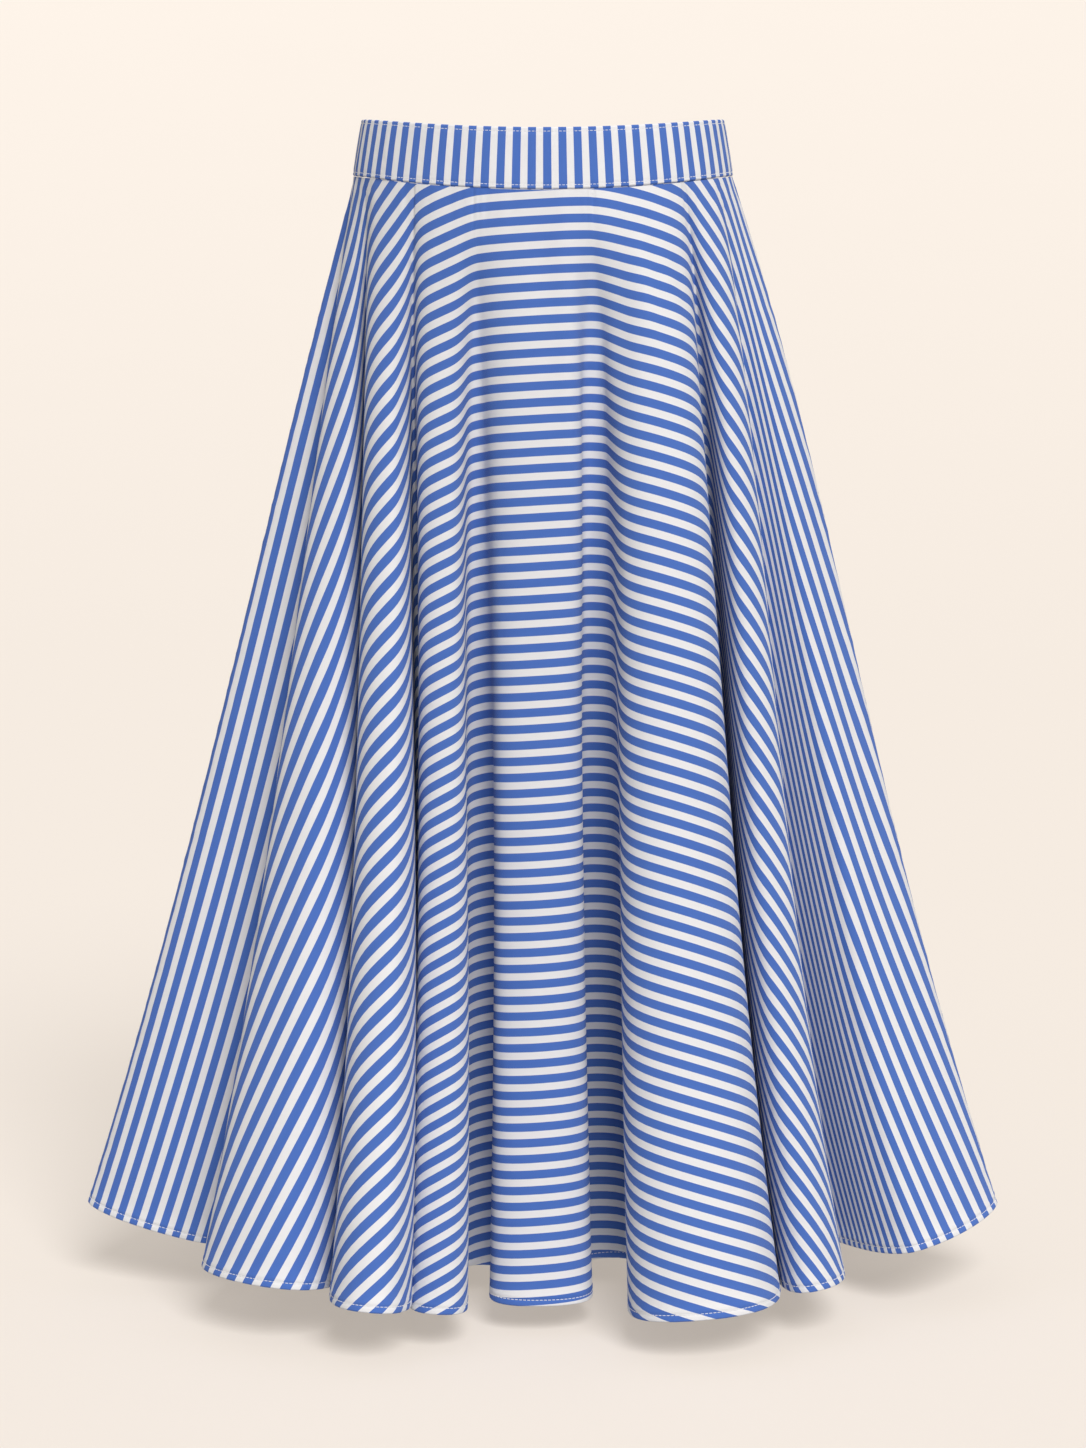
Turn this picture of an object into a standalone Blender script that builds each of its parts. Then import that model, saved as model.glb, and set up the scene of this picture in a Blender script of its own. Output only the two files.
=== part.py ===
"""A full-circle skirt in striped cotton, standing open as it does when worn, with nobody in it.

Every panel is a ruled sheet. Straight threads run down from the waist seam to the hem, and the
folds are rows of FOLD_LINES: a thread along each ridge and each valley, with the plan of the hem
running smoothly through them. Metres, +Z up. The front faces -Y, the wearer's left is +X, and the
origin is the middle of the waist opening, half way up the waistband.
"""

import math
from collections import namedtuple

import bmesh
import bpy
import numpy as np

# Waist, as ellipses: (half width, half depth)
WAIST_TOP_HALVES = (0.1330, 0.0910)
WAIST_SEAM_HALVES = (0.1400, 0.0970)
BAND_TOP_Z = 0.0220
BAND_SEAM_Z = -0.0190
FRONT_DIP_TOP = 0.0080
FRONT_DIP_SEAM = 0.0110
BACK_DIP = 0.0040

# Skirt
CLOTH_LENGTH = 0.818
CLOTH_THICKNESS = 0.0015
BAND_THICKNESS = 0.0024
SEAM_GAP = 0.0003
WAIST_SEAM_GAP = 0.0005
HIP_FULLNESS = 0.0040
HIP_FULLNESS_TO_LEFT = 0.0030
BELL_HOLLOW = 0.0060
VALLEY_PINCH = 0.2
RIDGE_SPREAD = 2.3

# How finely the sheets are cut into facets
ROWS_DOWN = np.array([0.0, 0.06, 0.14, 0.25, 0.38, 0.52, 0.68, 0.84, 1.0])
COLUMNS_PER_FOLD_LINE = 6
BAND_ROWS = np.array([0.0, 1.0])
BAND_COLUMNS = 64
SHARP_EDGE = math.radians(40)
NUDGE = 0.001

# Concealed zip in the centre-back seam, closed, its slider at the top of the waistband
TAPE_WIDTH = 0.0220
TAPE_THICKNESS = 0.0008
TAPE_INSET = 0.0022
TAPE_COLUMNS = 5
TAPE_ROWS_IN_BAND = (0.06, 0.5)
TAPE_ROWS_DOWN = (0.0, 0.06, 0.14, 0.21)
SLIDER_BELOW_TOP = 0.0075
SLIDER_WIDTH = 0.0050
SLIDER_HEIGHT = 0.0090
SLIDER_DEPTH = 0.0014
BRIDGE_WIDTH = 0.0018
BRIDGE_HEIGHT = 0.0072
BRIDGE_DEPTH = 0.0042
BRIDGE_OPENING_HEIGHT = 0.0052
BRIDGE_OPENING_DEPTH = 0.0022
PULL_PIVOT_DROP = 0.0014
PULL_WIDTH = 0.0050
PULL_LENGTH = 0.0160
PULL_THICKNESS = 0.0009
PULL_BAR = 0.0010
PULL_SLOT_WIDTH = 0.0026
PULL_SLOT_LENGTH = 0.0060

COLOURS = {
    "stripe_cotton": (0.42, 0.50, 0.72, 1.0, 0.85, 0.0),
    "zip_tape": (0.80, 0.82, 0.86, 1.0, 0.80, 0.0),
    "zip_metal": (0.75, 0.76, 0.78, 1.0, 0.30, 1.0),
}

# One row for each fold line. Its thread starts at `waist` degrees round the waist from the centre
# front and ends at (x, y) on the hem. `faces` is the way that the cloth faces there, in the same
# degrees; `round` says how broadly it bends, and a valley fades in below `onset` of the length.
Line = namedtuple("Line", "name x y faces round waist onset")
FOLD_LINES = (
    Line("side_right", -0.355, 0.020, -82, 0.080, -90, 0.00),
    Line("ridge_1", -0.268, -0.028, -14, 0.060, -89, 0.00),
    Line("valley_1", -0.222, -0.020, -60, 0.030, -87, 0.00),
    Line("ridge_2", -0.214, -0.150, -27, 0.300, -79, 0.00),
    Line("valley_2", -0.138, 0.000, -28, 0.040, -67, 0.00),
    Line("ridge_3", -0.128, -0.202, -12, 0.195, -54, 0.00),
    Line("valley_3", -0.096, -0.020, -8, 0.070, -42, 0.00),
    Line("ridge_4", -0.076, -0.167, 0, 0.160, -32, 0.00),
    Line("valley_4", -0.047, -0.030, 0, 0.150, -20, 0.07),
    Line("ridge_5", 0.000, -0.125, 3, 0.260, -2, 0.00),
    Line("valley_5", 0.051, -0.015, 5, 0.200, 14, 0.08),
    Line("ridge_6", 0.119, -0.194, 8, 0.360, 33, 0.00),
    Line("valley_6", 0.160, 0.045, 18, 0.100, 47, 0.00),
    Line("ridge_7", 0.203, -0.139, 25, 0.165, 57, 0.00),
    Line("valley_7", 0.214, 0.000, 45, 0.050, 67, 0.00),
    Line("ridge_8", 0.285, -0.066, 25, 0.095, 80, 0.00),
    Line("side_left", 0.354, 0.018, 84, 0.090, 90, 0.00),
    Line("valley_8", 0.215, 0.060, 112, 0.045, 97, 0.00),
    Line("ridge_9", 0.285, 0.137, 125, 0.180, 107, 0.00),
    Line("valley_9", 0.150, 0.082, 135, 0.040, 118, 0.06),
    Line("ridge_10", 0.204, 0.218, 148, 0.190, 131, 0.00),
    Line("valley_10", 0.096, 0.080, 155, 0.035, 143, 0.00),
    Line("ridge_11", 0.105, 0.256, 165, 0.200, 155, 0.00),
    Line("valley_11", 0.050, 0.080, 175, 0.030, 166, 0.12),
    Line("centre_back", 0.004, 0.255, 180, 0.190, 180, 0.00),
    Line("valley_12", -0.048, 0.080, 185, 0.035, 195, 0.16),
    Line("ridge_12", -0.112, 0.262, 193, 0.240, 208, 0.00),
    Line("valley_13", -0.118, 0.076, 208, 0.030, 221, 0.00),
    Line("ridge_13", -0.210, 0.210, 215, 0.190, 232, 0.00),
    Line("valley_14", -0.165, 0.068, 225, 0.035, 243, 0.05),
    Line("ridge_14", -0.292, 0.130, 238, 0.170, 255, 0.00),
    Line("valley_15", -0.215, 0.060, 252, 0.045, 264, 0.00),
)
LINE_NAMES = [line.name for line in FOLD_LINES]
LINES_ROUND = len(FOLD_LINES)


def column(name):
    """One column of FOLD_LINES as an array."""
    return np.array([getattr(line, name) for line in FOLD_LINES], float)


def hermite(start, start_slope, end, end_slope, u):
    """The cubic from start to end with these slopes, at u from 0 to 1."""
    stay = (1 + 2 * u) * (1 - u) ** 2
    reach = u * u * (3 - 2 * u)
    leave = u * (1 - u) ** 2
    arrive = u * u * (u - 1)
    return stay * start + leave * start_slope + reach * end + arrive * end_slope


def split_place(place):
    """The fold line before each place, the one after it and the share of the way between them."""
    before = np.floor(place).astype(int)
    return before % LINES_ROUND, (before + 1) % LINES_ROUND, place - before


def pinch():
    """How fast the waist passes each fold line. Folds start narrow, so it's slow at a valley."""
    valley = np.array(["valley" in name for name in LINE_NAMES])
    amid_valleys = np.roll(valley, 1) & np.roll(valley, -1)
    return np.where(valley, VALLEY_PINCH, np.where(amid_valleys, RIDGE_SPREAD, 1.0))


def waist_angle(place):
    """Radians round the waist, rising smoothly from one fold line to the next."""
    angles = np.radians(column("waist"))
    gaps = np.roll(angles, -1) - angles
    gaps[-1] += 2 * math.pi
    slopes = pinch() * np.minimum(gaps, np.roll(gaps, 1))
    start, end, u = split_place(place)
    return hermite(angles[start], slopes[start], angles[start] + gaps[start], slopes[end], u)


def ellipse_point(halves, angle):
    """Plan point at an angle from the centre front."""
    return np.stack([halves[0] * np.sin(angle), -halves[1] * np.cos(angle)], axis=-1)


def dip(angle, front):
    """How far an edge of the waistband sinks at the middle of the front and of the back."""
    return np.where(np.cos(angle) > 0, front, BACK_DIP) * np.cos(angle) ** 2


def tangents():
    """Which way the hem runs at each fold line, as long as the bend there is broad."""
    facing = np.radians(column("faces"))
    return column("round")[:, None] * np.stack([np.cos(facing), np.sin(facing)], axis=-1)


def hem_plan(place):
    """Plan of the hem: a cubic from each fold line to the next."""
    points = np.stack([column("x"), column("y")], axis=-1)
    along = tangents()
    start, end, u = split_place(place)
    return hermite(points[start], along[start], points[end], along[end], u[:, None])


def smooth_plan(place):
    """Plan of the hem as it would run from ridge to ridge, with no valleys between."""
    points = np.stack([column("x"), column("y")], axis=-1)
    facing = np.radians(column("faces"))
    along = np.stack([np.cos(facing), np.sin(facing)], axis=-1)
    valley = np.array(["valley" in name for name in LINE_NAMES])
    start, end, u = split_place(place)
    into, out_of = valley[end], valley[start]
    first = np.where(out_of, start - 1, start)
    last = np.where(into, (end + 1) % LINES_ROUND, end)
    share = np.where(into, u / 2, np.where(out_of, (1 + u) / 2, u))[:, None]
    reach = np.linalg.norm(points[last] - points[first], axis=1)[:, None]
    return hermite(points[first], reach * along[first], points[last], reach * along[last], share)


def onset_of(place):
    """Where the valley nearest to each place fades in, as a share of the cloth's length."""
    onsets = column("onset")
    start, end, _ = split_place(place)
    return np.maximum(onsets[start], onsets[end])


def skirt_points(place, down):
    """The middle of the cloth at each place round it and each share of the way down.

    A thread runs straight from the waist seam to the hem and drops so far that it keeps its
    length. A small fullness below the waist and a hollow above the hem are added to it.
    """
    place, down = np.asarray(place, float), np.asarray(down, float)
    angle = waist_angle(place)
    waist = ellipse_point(WAIST_SEAM_HALVES, angle)
    hem, smooth = hem_plan(place), smooth_plan(place)
    across = np.linalg.norm(hem - waist, axis=1)
    top = BAND_SEAM_Z - WAIST_SEAM_GAP - dip(angle, FRONT_DIP_SEAM)
    drop = np.sqrt(CLOTH_LENGTH**2 - across**2)
    onset = np.maximum(onset_of(place), 1e-6)[:, None, None]
    s = down[None, :, None]
    grown = 1 - np.exp(-((s / onset) ** 3))
    lower = smooth[:, None] + grown * (hem - smooth)[:, None]
    hip = (HIP_FULLNESS + HIP_FULLNESS_TO_LEFT * np.sin(angle))[:, None, None]
    bulge = 9.5 * hip * s * (1 - s) ** 3 - 6.75 * BELL_HOLLOW * s**2 * (1 - s)
    outward = np.stack([np.sin(angle), -np.cos(angle)], axis=-1)[:, None]
    plan = (1 - s) * waist[:, None] + s * lower + bulge * outward
    height = top[:, None] - drop[:, None] * down
    return np.concatenate([plan, height[:, :, None]], axis=2)


def band_points(angle, down):
    """The middle of the waistband's cloth, from its top edge (down = 0) to its seam (down = 1)."""
    angle, down = np.asarray(angle, float), np.asarray(down, float)
    share = down[None, :, None]
    top = ellipse_point(WAIST_TOP_HALVES, angle)[:, None]
    seam = ellipse_point(WAIST_SEAM_HALVES, angle)[:, None]
    plan = (1 - share) * top + share * seam
    high = (BAND_TOP_Z - dip(angle, FRONT_DIP_TOP))[:, None]
    low = (BAND_SEAM_Z - dip(angle, FRONT_DIP_SEAM))[:, None]
    height = (1 - down) * high + down * low
    return np.concatenate([plan, height[:, :, None]], axis=2)


def unit(vectors):
    """The same directions, with length 1."""
    return vectors / np.linalg.norm(vectors, axis=-1, keepdims=True)


def wall_sides(points, round_it, down, thickness):
    """The two faces of a sheet of cloth, whose ends draw in by half the gap of a seam.

    The sheet's outward direction is square to the way round it and to the way down it.
    """
    middle = points(round_it, down)
    along = unit(points(round_it + NUDGE, down) - points(round_it - NUDGE, down))
    lower, upper = np.minimum(down + NUDGE, 1), np.maximum(down - NUDGE, 0)
    fall = points(round_it, lower) - points(round_it, upper)
    outward = unit(np.cross(fall, along))
    middle[0] += SEAM_GAP / 2 * along[0]
    middle[-1] -= SEAM_GAP / 2 * along[-1]
    return middle + thickness / 2 * outward, middle - thickness / 2 * outward


def material(name):
    """A Principled material, from its row of COLOURS."""
    made = bpy.data.materials.new(name)
    made.use_nodes = True
    shader = made.node_tree.nodes["Principled BSDF"]
    *colour, roughness, metallic = COLOURS[name]
    shader.inputs["Base Color"].default_value = colour
    shader.inputs["Roughness"].default_value = roughness
    shader.inputs["Metallic"].default_value = metallic
    return made


def add_object(name, shape, finish):
    """Puts a bmesh into the scene as a named object with a material of its own."""
    mesh = bpy.data.meshes.new(name)
    shape.to_mesh(mesh)
    shape.free()
    mesh.materials.append(material(finish))
    made = bpy.data.objects.new(name, mesh)
    bpy.context.scene.collection.objects.link(made)
    return made


def add_sheet(name, outside, inside, finish="stripe_cotton"):
    """A sheet of cloth as one closed wall: its two faces, and a rim along its four edges."""
    shape = bmesh.new()
    outer = [[shape.verts.new(point) for point in line] for line in outside]
    inner = [[shape.verts.new(point) for point in line] for line in inside]
    for face in (outer, inner):
        for line, following in zip(face, face[1:]):
            for a, b, c, d in zip(line, line[1:], following[1:], following):
                shape.faces.new((a, b, c, d))
    edges = (
        (outer[0], inner[0]),
        (outer[-1], inner[-1]),
        ([line[0] for line in outer], [line[0] for line in inner]),
        ([line[-1] for line in outer], [line[-1] for line in inner]),
    )
    for out, back in edges:
        for a, b, c, d in zip(out, out[1:], back[1:], back):
            shape.faces.new((a, b, c, d))
    bmesh.ops.recalc_face_normals(shape, faces=shape.faces)
    made = add_object(name, shape, finish)
    made.data.shade_smooth()
    made.data.set_sharp_from_angle(angle=SHARP_EDGE)
    return made


def add_panel(name, first, last):
    """A panel of the skirt between two of its fold lines, taken in the order of FOLD_LINES."""
    start = LINE_NAMES.index(first)
    steps = (LINE_NAMES.index(last) - start) % LINES_ROUND
    place = start + np.linspace(0, steps, steps * COLUMNS_PER_FOLD_LINE + 1)
    return add_sheet(name, *wall_sides(skirt_points, place, ROWS_DOWN, CLOTH_THICKNESS))


def add_waistband():
    """The waistband, a strip whose ends meet at the centre back."""
    angle = np.linspace(math.pi, 3 * math.pi, BAND_COLUMNS + 1)
    return add_sheet("waistband", *wall_sides(band_points, angle, BAND_ROWS, BAND_THICKNESS))


def beside_seam(points, seam, down):
    """A row of points on a sheet, on both sides of the centre-back seam, as wide as the tapes."""
    near = points(np.array([seam, seam + NUDGE]), down)
    stride = np.linalg.norm(near[1, 0] - near[0, 0]) / NUDGE
    beside = np.linspace(-0.5, 0.5, TAPE_COLUMNS) * TAPE_WIDTH / stride
    return points(seam + beside, down)


def add_tapes():
    """The zip's tapes: the band's and the panels' own points beside the seam, moved inward."""
    place = float(LINE_NAMES.index("centre_back"))
    rows = [beside_seam(band_points, math.pi, np.array([down])) for down in TAPE_ROWS_IN_BAND]
    rows += [beside_seam(skirt_points, place, np.array([down])) for down in TAPE_ROWS_DOWN]
    grid = np.concatenate(rows, axis=1)
    outward = unit(np.cross(np.gradient(grid, axis=1), np.gradient(grid, axis=0)))
    outside = grid - TAPE_INSET * outward
    return add_sheet("zip_tapes", outside, outside - TAPE_THICKNESS * outward, "zip_tape")


def add_block(name, size, centre, finish="zip_metal"):
    """A rectangular block, before it is placed."""
    shape = bmesh.new()
    bmesh.ops.create_cube(shape, size=1)
    bmesh.ops.scale(shape, verts=shape.verts, vec=size)
    bmesh.ops.translate(shape, verts=shape.verts, vec=centre)
    return add_object(name, shape, finish)


def join_or_cut(body, tool, operation):
    """Joins a block to a body, or cuts it away. The tool itself isn't part of the skirt."""
    boolean = body.modifiers.new(tool.name, "BOOLEAN")
    boolean.object = tool
    boolean.operation = operation
    tool.hide_render = True
    tool.display_type = "WIRE"
    tool.parent = body


def add_slider(frame):
    """The slider: a plate on the outside of the band, with a bridge that holds the pull tab."""
    body = add_block("zip_slider", (SLIDER_WIDTH, SLIDER_DEPTH, SLIDER_HEIGHT),
                     (0, SLIDER_DEPTH / 2, 0))
    bridge = add_block("slider_bridge", (BRIDGE_WIDTH, BRIDGE_DEPTH, BRIDGE_HEIGHT),
                       (0, BRIDGE_DEPTH / 2, 0))
    opening = add_block("slider_opening",
                        (SLIDER_WIDTH, BRIDGE_OPENING_DEPTH, BRIDGE_OPENING_HEIGHT),
                        (0, SLIDER_DEPTH + BRIDGE_OPENING_DEPTH / 2, 0))
    join_or_cut(body, bridge, "UNION")
    join_or_cut(body, opening, "DIFFERENCE")
    body.parent = frame
    return body


def add_pull(frame):
    """The pull tab. Its origin is on the axis of its bar, which lies in the slider's bridge."""
    body = add_block("zip_pull", (PULL_WIDTH, PULL_THICKNESS, PULL_LENGTH),
                     (0, 0, (PULL_BAR - PULL_LENGTH) / 2))
    slot = add_block("pull_slot", (PULL_SLOT_WIDTH, 3 * PULL_THICKNESS, PULL_SLOT_LENGTH),
                     (0, 0, -(PULL_BAR + PULL_SLOT_LENGTH) / 2))
    join_or_cut(body, slot, "DIFFERENCE")
    body.parent = frame
    body.location = (0, SLIDER_DEPTH + BRIDGE_OPENING_DEPTH / 2, -PULL_PIVOT_DROP)
    return body


def add_zip():
    """The concealed zip: its tapes inside, and the slider and pull tab outside."""
    add_tapes()
    high, low = band_points((math.pi,), (0.0, 1.0))[0]
    fall = (low - high) / np.linalg.norm(low - high)
    outward = np.array([0.0, -fall[2], fall[1]])
    seat = high + SLIDER_BELOW_TOP * fall + (BAND_THICKNESS / 2 + SEAM_GAP) * outward
    frame = bpy.data.objects.new("zip_frame", None)
    bpy.context.scene.collection.objects.link(frame)
    frame.location = seat
    frame.rotation_euler = (math.atan2(outward[2], outward[1]), 0, 0)
    add_slider(frame)
    add_pull(frame)


def main():
    for old in list(bpy.data.objects):
        bpy.data.objects.remove(old)
    add_panel("front_panel", "side_right", "side_left")
    add_panel("back_panel_left", "side_left", "centre_back")
    add_panel("back_panel_right", "centre_back", "side_right")
    add_waistband()
    add_zip()


if __name__ == "__main__":
    main()
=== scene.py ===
"""The looks of the circle skirt: striped cotton, stitching, zip, floor and soft light.

The cloth is worked out the way it is cut and hung. Every panel is a ruled sheet, whose straight
threads run from the waist seam to the hem through one row of fold lines, and the stripes follow
the flat cut of each panel. Metres, +Z up, the front faces -Y, the wearer's left is +X.
"""

from __future__ import annotations

import logging
import math
from dataclasses import dataclass
from enum import Enum
from typing import Any, Iterable

import bpy
import numpy as np
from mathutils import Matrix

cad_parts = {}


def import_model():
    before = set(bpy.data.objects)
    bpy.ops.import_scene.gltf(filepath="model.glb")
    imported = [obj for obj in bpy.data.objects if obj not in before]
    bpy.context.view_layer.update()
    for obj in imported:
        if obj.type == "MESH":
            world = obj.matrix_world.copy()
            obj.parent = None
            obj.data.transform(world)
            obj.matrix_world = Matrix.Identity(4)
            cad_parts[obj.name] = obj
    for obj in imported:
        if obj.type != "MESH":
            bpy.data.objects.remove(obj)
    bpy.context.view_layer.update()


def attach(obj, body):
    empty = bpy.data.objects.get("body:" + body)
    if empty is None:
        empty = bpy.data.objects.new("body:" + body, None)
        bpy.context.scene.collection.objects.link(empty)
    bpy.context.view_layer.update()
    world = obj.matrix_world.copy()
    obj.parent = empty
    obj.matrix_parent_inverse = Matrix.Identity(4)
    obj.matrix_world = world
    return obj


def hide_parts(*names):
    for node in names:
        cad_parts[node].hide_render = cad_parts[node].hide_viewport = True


LOG = logging.getLogger("circle_skirt")
FULL_TURN = 2 * math.pi

Grid = np.ndarray
Sizes = tuple[float, float, float]
Colour = tuple[float, float, float]
Mesh = tuple[Grid, Grid, Grid]
"""Points, quads as four point numbers each, and the flat coordinates of the quads' corners."""


# ---------------------------------------------------------------------------- shader building


class Value:
    """A socket or a number inside a material, with arithmetic that adds the nodes it needs."""

    def __init__(self, nodes: Nodes, source: Any) -> None:
        """Keeps the material's node builder and an output socket or a number."""
        self.nodes = nodes
        self.source = source

    def __add__(self, other: Any) -> Value:
        """This plus other."""
        return self.nodes.math("ADD", self, other)

    __radd__ = __add__

    def __sub__(self, other: Any) -> Value:
        """This minus other."""
        return self.nodes.math("SUBTRACT", self, other)

    def __rsub__(self, other: Any) -> Value:
        """Other minus this."""
        return self.nodes.math("SUBTRACT", other, self)

    def __mul__(self, other: Any) -> Value:
        """This times other."""
        return self.nodes.math("MULTIPLY", self, other)

    __rmul__ = __mul__

    def __mod__(self, other: Any) -> Value:
        """The remainder, always from 0 up to other."""
        return self.nodes.math("FLOORED_MODULO", self, other)

    def sine(self) -> Value:
        """The sine of this, in radians."""
        return self.nodes.math("SINE", self)

    def step(self, low: float, high: float) -> Value:
        """A smooth rise from 0 at low to 1 at high."""
        return self.nodes.add("ShaderNodeMapRange", {"interpolation_type": "SMOOTHSTEP"},
                              {"Value": self, "From Min": low, "From Max": high}, "Result")


class Nodes:
    """Builds one material's nodes from expressions."""

    def __init__(self, name: str) -> None:
        """Makes an empty material of this name."""
        self.material = bpy.data.materials.new(name)
        self.material.use_nodes = True
        self.tree = self.material.node_tree
        self.tree.nodes.clear()

    def add(self, kind: str, settings: dict[str, Any], sockets: dict[Any, Any],
            output: str | int = 0) -> Value:
        """Adds any node.

        Args:
            kind: The node's type name.
            settings: Properties that are set first.
            sockets: Input name or index, to a value, a Value or a socket.
            output: Which output to give back.

        Returns:
            The chosen output.
        """
        node = self.tree.nodes.new(kind)
        for key, setting in settings.items():
            setattr(node, key, setting)
        for key, content in sockets.items():
            socket = node.inputs[key]
            if isinstance(content, Value):
                content = content.source
            if isinstance(content, bpy.types.NodeSocket):
                self.tree.links.new(content, socket)
            else:
                socket.default_value = content
        return Value(self, node.outputs[output] if node.outputs else None)

    def math(self, operation: str, *values: Any) -> Value:
        """One Math node."""
        return self.add("ShaderNodeMath", {"operation": operation}, dict(enumerate(values)))

    def mix(self, share: Any, first: Any, second: Any) -> Value:
        """A colour between two others, with a share of 0 to 1 of the second.

        A Mix node's colours are its inputs 6 and 7, and the mixed colour is its output 2.
        """
        first, second = ((*colour, 1.0) if isinstance(colour, tuple) else colour
                         for colour in (first, second))
        return self.add("ShaderNodeMix", {"data_type": "RGBA", "clamp_factor": True},
                        {0: share, 6: first, 7: second}, 2)

    def map(self, name: str) -> tuple[Value, Value, Value]:
        """The two coordinates of a UV map, in metres, and the map as a vector."""
        vector = self.add("ShaderNodeUVMap", {"uv_map": name}, {})
        across = self.add("ShaderNodeSeparateXYZ", {}, {0: vector}, "X")
        return across, Value(self, across.source.node.outputs["Y"]), vector

    def place(self) -> Value:
        """Object coordinates, in metres."""
        return self.add("ShaderNodeTexCoord", {}, {}, "Object")

    def noise(self, vector: Value, size: float, detail: float = 2.0,
              stretch: Sizes = (1.0, 1.0, 1.0)) -> Value:
        """Soft random variation from 0 to 1.

        Args:
            vector: The coordinates that it follows.
            size: The width of one blotch, in metres.
            detail: How many finer layers it has.
            stretch: How much faster it varies along each axis.

        Returns:
            The variation.
        """
        scaled = self.add("ShaderNodeMapping", {"vector_type": "POINT"},
                          {"Vector": vector, "Scale": tuple(s / size for s in stretch)})
        return self.add("ShaderNodeTexNoise", {}, {"Vector": scaled, "Scale": 1.0,
                                                   "Detail": detail}, 0)

    def bump(self, height: Value, distance: float) -> Value:
        """A surface normal from a height of 0 to 1 that stands for a distance in metres."""
        return self.add("ShaderNodeBump", {}, {"Height": height, "Distance": distance,
                                               "Strength": 1.0})

    def principled(self, constants: dict[str, Any], links: dict[str, Any]) -> bpy.types.Material:
        """Finishes the material with a Principled shader, from what is constant and what varies."""
        shader = self.add("ShaderNodeBsdfPrincipled", {}, constants | links)
        self.add("ShaderNodeOutputMaterial", {}, {"Surface": shader})
        return self.material


# ---------------------------------------------------------------------------- finishes


def darker(colour: Colour, share: float) -> Colour:
    """A colour at a share of its brightness."""
    red, green, blue = colour
    return share * red, share * green, share * blue


class StripeWay(Enum):
    """Which way a piece's stripes run in its flat cut."""

    LEVEL = "level"
    UPRIGHT = "upright"


@dataclass(frozen=True)
class StripedCotton:
    """Plain-woven cotton with even blue and white stripes, woven in the yarn."""

    name: str
    way: StripeWay
    pitch: float = 0.0118
    blue_share: float = 0.535
    edge: float = 0.00016
    blue: Colour = (0.072, 0.175, 0.560)
    blue_deep: Colour = (0.052, 0.142, 0.500)
    white: Colour = (0.875, 0.860, 0.862)
    white_deep: Colour = (0.84, 0.828, 0.835)
    between_threads: Colour = (0.25, 0.30, 0.50)
    thread: float = 0.00042
    slub: float = 0.004
    blotch: float = 0.035
    crumple: float = 0.018
    relief: float = 0.00030

    def material(self) -> bpy.types.Material:
        """The cotton: stripes across the flat cut, and a weave of warp and weft threads.

        A stripe is blue where the flat coordinate's share of one pitch is under blue_share. The
        weave is the product of two sine waves along the threads, in alternating turns.

        Returns:
            The material.
        """
        n = Nodes(self.name)
        across, along, flat = n.map("flat")
        run = along if self.way is StripeWay.LEVEL else across
        other = across if self.way is StripeWay.LEVEL else along
        stretch = (0.08, 1.0, 1.0) if self.way is StripeWay.LEVEL else (1.0, 0.08, 1.0)
        slub = n.noise(flat, self.slub, 2.0, stretch)
        place = (run + (slub - 0.5) * (self.edge * 1.2)) % self.pitch
        width = self.pitch * self.blue_share
        blue = place.step(0.0, self.edge) - place.step(width, width + self.edge)
        warp = (run * (FULL_TURN / self.thread)).sine()
        weft = (other * (FULL_TURN / self.thread)).sine()
        weave = warp * weft * 0.5 + 0.5
        fade = n.noise(flat, self.blotch, 3.0)
        blue_tone = n.mix(slub * 0.55 + fade * 0.45, self.blue, self.blue_deep)
        white_tone = n.mix(fade * 0.5, self.white, self.white_deep)
        colour = n.mix(blue, white_tone, blue_tone)
        colour = n.mix((1.0 - weave) * 0.10, colour, self.between_threads)
        crumple = n.noise(flat, self.crumple, 3.0)
        normal = n.bump(weave * 0.5 + crumple * 0.5, self.relief)
        return n.principled(
            {"Sheen Weight": 0.06, "Sheen Roughness": 0.4, "Specular IOR Level": 0.25},
            {"Base Color": colour, "Roughness": 0.72 + fade * 0.12, "Normal": normal},
        )


@dataclass(frozen=True)
class SewingThread:
    """Twisted sewing thread."""

    name: str = "sewing_thread"
    colour: Colour = (0.86, 0.86, 0.88)
    plies: tuple[float, float] = (6000.0, 9000.0)
    relief: float = 0.00008

    def material(self) -> bpy.types.Material:
        """Pale thread, whose plies slant by so many radians a metre across and along."""
        n = Nodes(self.name)
        across, along, _ = n.map("flat")
        ply = (along * self.plies[1] + across * self.plies[0]).sine() * 0.5 + 0.5
        colour = n.mix(ply, darker(self.colour, 0.8), self.colour)
        return n.principled({"Roughness": 0.6, "Sheen Weight": 0.2},
                            {"Base Color": colour, "Normal": n.bump(ply, self.relief)})


@dataclass(frozen=True)
class TapeCloth:
    """The woven tape of a zip."""

    name: str = "zip_tape_cloth"
    colour: Colour = (0.80, 0.81, 0.86)
    rib: float = 0.0008
    relief: float = 0.00012

    def material(self) -> bpy.types.Material:
        """Twill tape: slanting ribs worked out from both flat coordinates."""
        n = Nodes(self.name)
        across, along, _ = n.map("flat")
        ribs = ((across + along) * (FULL_TURN / self.rib)).sine() * 0.5 + 0.5
        colour = n.mix(ribs * 0.6, darker(self.colour, 0.82), self.colour)
        return n.principled({"Roughness": 0.8}, {"Base Color": colour,
                                                 "Normal": n.bump(ribs, self.relief)})


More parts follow.
